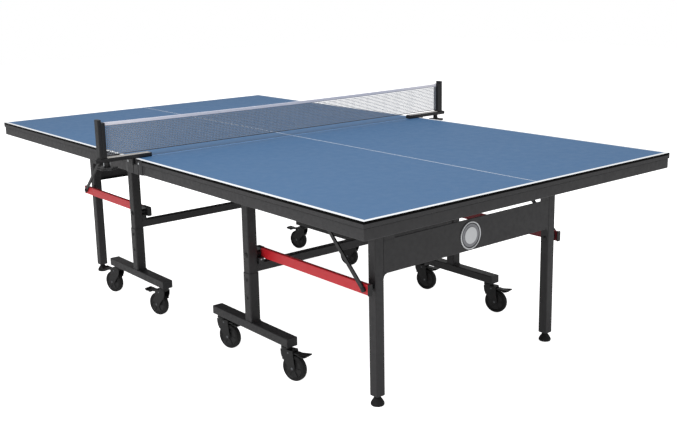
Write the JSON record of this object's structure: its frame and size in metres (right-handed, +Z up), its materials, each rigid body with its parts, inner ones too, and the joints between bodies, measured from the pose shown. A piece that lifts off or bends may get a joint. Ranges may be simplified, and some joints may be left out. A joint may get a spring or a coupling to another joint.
{
  "type": "ping pong table",
  "caption": "Roll-away table tennis table: a blue board in halves on wheeled steel frames that fold upright, with a clamp-on net.",
  "frame": {"origin": "on the floor under the middle of the net", "axes": "+X along the table towards the near half, +Y across the table along the net, +Z up"},
  "size_m": [2.74, 1.85, 0.9245],
  "materials": {
    "board_blue": "matt blue lacquer over particle board, with white lines",
    "steel_black": "charcoal powder coat",
    "steel_bracket": "black powder coat",
    "steel_red": "satin red powder coat",
    "plastic_black": "moulded, matt",
    "caster_nylon": "moulded nylon, satin",
    "wheel_tread": "matt rubber tread on a moulded hub",
    "foot_rubber": "matt rubber",
    "medallion_metal": "brushed, with dark rings",
    "net_cloth": "open mesh with a white tape along the top"
  },
  "bodies": {
    "chassis_near": {"near_roller_posts": "steel_black", "near_foot_bars": "steel_black", "near_cross_tube": "steel_black", "near_caps_and_bolts": "plastic_black"},
    "near_top": {"near_tabletop": "board_blue", "near_aprons": "steel_black", "near_top_brackets": "steel_bracket", "net_clamp_jaws": "steel_bracket"},
    "near_legs": {"near_end_legs": "steel_black", "near_end_panel": "steel_black", "near_medallion": "medallion_metal"},
    "near_bars": {"near_link_bars": "steel_red", "near_bar_fittings": "plastic_black"},
    "near_braces": {"near_lock_braces": "steel_bracket"},
    "chassis_far": {"far_roller_posts": "steel_black", "far_foot_bars": "steel_black", "far_cross_tube": "steel_black", "far_caps_and_bolts": "plastic_black"},
    "far_top": {"far_tabletop": "board_blue", "far_aprons": "steel_black", "far_top_brackets": "steel_bracket"},
    "far_legs": {"far_end_legs": "steel_black", "far_end_panel": "steel_black", "far_medallion": "medallion_metal"},
    "far_bars": {"far_link_bars": "steel_red", "far_bar_fittings": "plastic_black"},
    "far_braces": {"far_lock_braces": "steel_bracket"},
    "net_set": {"net": "net_cloth", "net_posts": "steel_black", "net_clamp_arms": "steel_black"},
    "clamp_knob_left": {"clamp_knob_left": "plastic_black"},
    "clamp_knob_right": {"clamp_knob_right": "plastic_black"},
    "levelling_foot_near_left": {"levelling_foot_near_left": "foot_rubber"},
    "levelling_foot_near_right": {"levelling_foot_near_right": "foot_rubber"},
    "levelling_foot_far_left": {"levelling_foot_far_left": "foot_rubber"},
    "levelling_foot_far_right": {"levelling_foot_far_right": "foot_rubber"},
    "caster_fork_near_left_inner": {"caster_fork_near_left_inner": "caster_nylon"},
    "caster_wheel_near_left_inner": {"caster_wheel_near_left_inner": "wheel_tread"},
    "caster_pedal_near_left_inner": {"caster_pedal_near_left_inner": "caster_nylon"},
    "caster_fork_near_left_outer": {"caster_fork_near_left_outer": "caster_nylon"},
    "caster_wheel_near_left_outer": {"caster_wheel_near_left_outer": "wheel_tread"},
    "caster_pedal_near_left_outer": {"caster_pedal_near_left_outer": "caster_nylon"},
    "caster_fork_near_right_inner": {"caster_fork_near_right_inner": "caster_nylon"},
    "caster_wheel_near_right_inner": {"caster_wheel_near_right_inner": "wheel_tread"},
    "caster_pedal_near_right_inner": {"caster_pedal_near_right_inner": "caster_nylon"},
    "caster_fork_near_right_outer": {"caster_fork_near_right_outer": "caster_nylon"},
    "caster_wheel_near_right_outer": {"caster_wheel_near_right_outer": "wheel_tread"},
    "caster_pedal_near_right_outer": {"caster_pedal_near_right_outer": "caster_nylon"},
    "caster_fork_far_left_inner": {"caster_fork_far_left_inner": "caster_nylon"},
    "caster_wheel_far_left_inner": {"caster_wheel_far_left_inner": "wheel_tread"},
    "caster_pedal_far_left_inner": {"caster_pedal_far_left_inner": "caster_nylon"},
    "caster_fork_far_left_outer": {"caster_fork_far_left_outer": "caster_nylon"},
    "caster_wheel_far_left_outer": {"caster_wheel_far_left_outer": "wheel_tread"},
    "caster_pedal_far_left_outer": {"caster_pedal_far_left_outer": "caster_nylon"},
    "caster_fork_far_right_inner": {"caster_fork_far_right_inner": "caster_nylon"},
    "caster_wheel_far_right_inner": {"caster_wheel_far_right_inner": "wheel_tread"},
    "caster_pedal_far_right_inner": {"caster_pedal_far_right_inner": "caster_nylon"},
    "caster_fork_far_right_outer": {"caster_fork_far_right_outer": "caster_nylon"},
    "caster_wheel_far_right_outer": {"caster_wheel_far_right_outer": "wheel_tread"},
    "caster_pedal_far_right_outer": {"caster_pedal_far_right_outer": "caster_nylon"}
  },
  "joints": [
    {"name": "far_roll_away", "type": "slide", "parent": "chassis_near", "child": "chassis_far", "axis": [-1, 0, 0], "range_m": [0, 0.9]},
    {"name": "near_tilt", "type": "hinge", "parent": "chassis_near", "child": "near_top", "pos_m": [0.408, 0, 0.716], "axis": [0, -1, 0], "range_deg": [0, 90]},
    {"name": "near_leg_fold", "type": "hinge", "parent": "near_top", "child": "near_legs", "pos_m": [1.01, 0, 0.716], "axis": [0, -1, 0], "range_deg": [-90, 0]},
    {"name": "near_bar_swing", "type": "hinge", "parent": "chassis_near", "child": "near_bars", "pos_m": [0.452, 0, 0.425], "axis": [0, -1, 0], "range_deg": [0, 90]},
    {"name": "near_brace_swing", "type": "hinge", "parent": "near_bars", "child": "near_braces", "pos_m": [1.054, 0, 0.425], "axis": [0, -1, 0], "range_deg": [0, 38]},
    {"name": "far_tilt", "type": "hinge", "parent": "chassis_far", "child": "far_top", "pos_m": [-0.408, 0, 0.716], "axis": [0, 1, 0], "range_deg": [0, 90]},
    {"name": "far_leg_fold", "type": "hinge", "parent": "far_top", "child": "far_legs", "pos_m": [-1.01, 0, 0.716], "axis": [0, 1, 0], "range_deg": [-90, 0]},
    {"name": "far_bar_swing", "type": "hinge", "parent": "chassis_far", "child": "far_bars", "pos_m": [-0.452, 0, 0.425], "axis": [0, 1, 0], "range_deg": [0, 90]},
    {"name": "far_brace_swing", "type": "hinge", "parent": "far_bars", "child": "far_braces", "pos_m": [-1.054, 0, 0.425], "axis": [0, 1, 0], "range_deg": [0, 38]},
    {"name": "net_lift", "type": "slide", "parent": "chassis_near", "child": "net_set", "axis": [0, 0, 1], "range_m": [0, 0.2]},
    {"name": "clamp_screw_left", "type": "hinge", "parent": "net_set", "child": "clamp_knob_left", "pos_m": [0, -0.875, 0.737], "axis": [0, 0, 1], "continuous": true},
    {"name": "clamp_screw_right", "type": "hinge", "parent": "net_set", "child": "clamp_knob_right", "pos_m": [0, 0.875, 0.737], "axis": [0, 0, 1], "continuous": true},
    {"name": "levelling_near_left", "type": "slide", "parent": "near_legs", "child": "levelling_foot_near_left", "axis": [0, 0, -1], "range_m": [0, 0.015]},
    {"name": "levelling_near_right", "type": "slide", "parent": "near_legs", "child": "levelling_foot_near_right", "axis": [0, 0, -1], "range_m": [0, 0.015]},
    {"name": "levelling_far_left", "type": "slide", "parent": "far_legs", "child": "levelling_foot_far_left", "axis": [0, 0, -1], "range_m": [0, 0.015]},
    {"name": "levelling_far_right", "type": "slide", "parent": "far_legs", "child": "levelling_foot_far_right", "axis": [0, 0, -1], "range_m": [0, 0.015]},
    {"name": "caster_swivel_near_left_inner", "type": "hinge", "parent": "chassis_near", "child": "caster_fork_near_left_inner", "pos_m": [0.237, -0.541, 0.132], "axis": [0, 0, 1], "continuous": true},
    {"name": "caster_roll_near_left_inner", "type": "hinge", "parent": "caster_fork_near_left_inner", "child": "caster_wheel_near_left_inner", "pos_m": [0.27081, -0.53194, 0.05], "axis": [-0.2588, 0.9659, 0], "continuous": true},
    {"name": "caster_brake_near_left_inner", "type": "hinge", "parent": "caster_fork_near_left_inner", "child": "caster_pedal_near_left_inner", "pos_m": [0.25439, -0.53634, 0.108], "axis": [-0.2588, 0.9659, 0], "range_deg": [0, 10]},
    {"name": "caster_swivel_near_left_outer", "type": "hinge", "parent": "chassis_near", "child": "caster_fork_near_left_outer", "pos_m": [0.667, -0.541, 0.132], "axis": [0, 0, 1], "continuous": true},
    {"name": "caster_roll_near_left_outer", "type": "hinge", "parent": "caster_fork_near_left_outer", "child": "caster_wheel_near_left_outer", "pos_m": [0.70081, -0.53194, 0.05], "axis": [-0.2588, 0.9659, 0], "continuous": true},
    {"name": "caster_brake_near_left_outer", "type": "hinge", "parent": "caster_fork_near_left_outer", "child": "caster_pedal_near_left_outer", "pos_m": [0.68439, -0.53634, 0.108], "axis": [-0.2588, 0.9659, 0], "range_deg": [0, 10]},
    {"name": "caster_swivel_near_right_inner", "type": "hinge", "parent": "chassis_near", "child": "caster_fork_near_right_inner", "pos_m": [0.237, 0.541, 0.132], "axis": [0, 0, 1], "continuous": true},
    {"name": "caster_roll_near_right_inner", "type": "hinge", "parent": "caster_fork_near_right_inner", "child": "caster_wheel_near_right_inner", "pos_m": [0.27081, 0.55006, 0.05], "axis": [-0.2588, 0.9659, 0], "continuous": true},
    {"name": "caster_brake_near_right_inner", "type": "hinge", "parent": "caster_fork_near_right_inner", "child": "caster_pedal_near_right_inner", "pos_m": [0.25439, 0.54566, 0.108], "axis": [-0.2588, 0.9659, 0], "range_deg": [0, 10]},
    {"name": "caster_swivel_near_right_outer", "type": "hinge", "parent": "chassis_near", "child": "caster_fork_near_right_outer", "pos_m": [0.667, 0.541, 0.132], "axis": [0, 0, 1], "continuous": true},
    {"name": "caster_roll_near_right_outer", "type": "hinge", "parent": "caster_fork_near_right_outer", "child": "caster_wheel_near_right_outer", "pos_m": [0.70081, 0.55006, 0.05], "axis": [-0.2588, 0.9659, 0], "continuous": true},
    {"name": "caster_brake_near_right_outer", "type": "hinge", "parent": "caster_fork_near_right_outer", "child": "caster_pedal_near_right_outer", "pos_m": [0.68439, 0.54566, 0.108], "axis": [-0.2588, 0.9659, 0], "range_deg": [0, 10]},
    {"name": "caster_swivel_far_left_inner", "type": "hinge", "parent": "chassis_far", "child": "caster_fork_far_left_inner", "pos_m": [-0.237, -0.541, 0.132], "axis": [0, 0, 1], "continuous": true},
    {"name": "caster_roll_far_left_inner", "type": "hinge", "parent": "caster_fork_far_left_inner", "child": "caster_wheel_far_left_inner", "pos_m": [-0.27081, -0.55006, 0.05], "axis": [-0.2588, 0.9659, 0], "continuous": true},
    {"name": "caster_brake_far_left_inner", "type": "hinge", "parent": "caster_fork_far_left_inner", "child": "caster_pedal_far_left_inner", "pos_m": [-0.25439, -0.54566, 0.108], "axis": [0.2588, -0.9659, 0], "range_deg": [0, 10]},
    {"name": "caster_swivel_far_left_outer", "type": "hinge", "parent": "chassis_far", "child": "caster_fork_far_left_outer", "pos_m": [-0.667, -0.541, 0.132], "axis": [0, 0, 1], "continuous": true},
    {"name": "caster_roll_far_left_outer", "type": "hinge", "parent": "caster_fork_far_left_outer", "child": "caster_wheel_far_left_outer", "pos_m": [-0.70081, -0.55006, 0.05], "axis": [-0.2588, 0.9659, 0], "continuous": true},
    {"name": "caster_brake_far_left_outer", "type": "hinge", "parent": "caster_fork_far_left_outer", "child": "caster_pedal_far_left_outer", "pos_m": [-0.68439, -0.54566, 0.108], "axis": [0.2588, -0.9659, 0], "range_deg": [0, 10]},
    {"name": "caster_swivel_far_right_inner", "type": "hinge", "parent": "chassis_far", "child": "caster_fork_far_right_inner", "pos_m": [-0.237, 0.541, 0.132], "axis": [0, 0, 1], "continuous": true},
    {"name": "caster_roll_far_right_inner", "type": "hinge", "parent": "caster_fork_far_right_inner", "child": "caster_wheel_far_right_inner", "pos_m": [-0.27081, 0.53194, 0.05], "axis": [-0.2588, 0.9659, 0], "continuous": true},
    {"name": "caster_brake_far_right_inner", "type": "hinge", "parent": "caster_fork_far_right_inner", "child": "caster_pedal_far_right_inner", "pos_m": [-0.25439, 0.53634, 0.108], "axis": [0.2588, -0.9659, 0], "range_deg": [0, 10]},
    {"name": "caster_swivel_far_right_outer", "type": "hinge", "parent": "chassis_far", "child": "caster_fork_far_right_outer", "pos_m": [-0.667, 0.541, 0.132], "axis": [0, 0, 1], "continuous": true},
    {"name": "caster_roll_far_right_outer", "type": "hinge", "parent": "caster_fork_far_right_outer", "child": "caster_wheel_far_right_outer", "pos_m": [-0.70081, 0.53194, 0.05], "axis": [-0.2588, 0.9659, 0], "continuous": true},
    {"name": "caster_brake_far_right_outer", "type": "hinge", "parent": "caster_fork_far_right_outer", "child": "caster_pedal_far_right_outer", "pos_m": [-0.68439, 0.53634, 0.108], "axis": [0.2588, -0.9659, 0], "range_deg": [0, 10]}
  ],
  "couplings": [
    {"joint": "near_leg_fold", "follows": "near_tilt", "ratio": -1},
    {"joint": "near_bar_swing", "follows": "near_tilt", "ratio": 1},
    {"joint": "near_brace_swing", "follows": "near_tilt", "ratio": 0.42222},
    {"joint": "far_leg_fold", "follows": "far_tilt", "ratio": -1},
    {"joint": "far_bar_swing", "follows": "far_tilt", "ratio": 1},
    {"joint": "far_brace_swing", "follows": "far_tilt", "ratio": 0.42222}
  ]
}
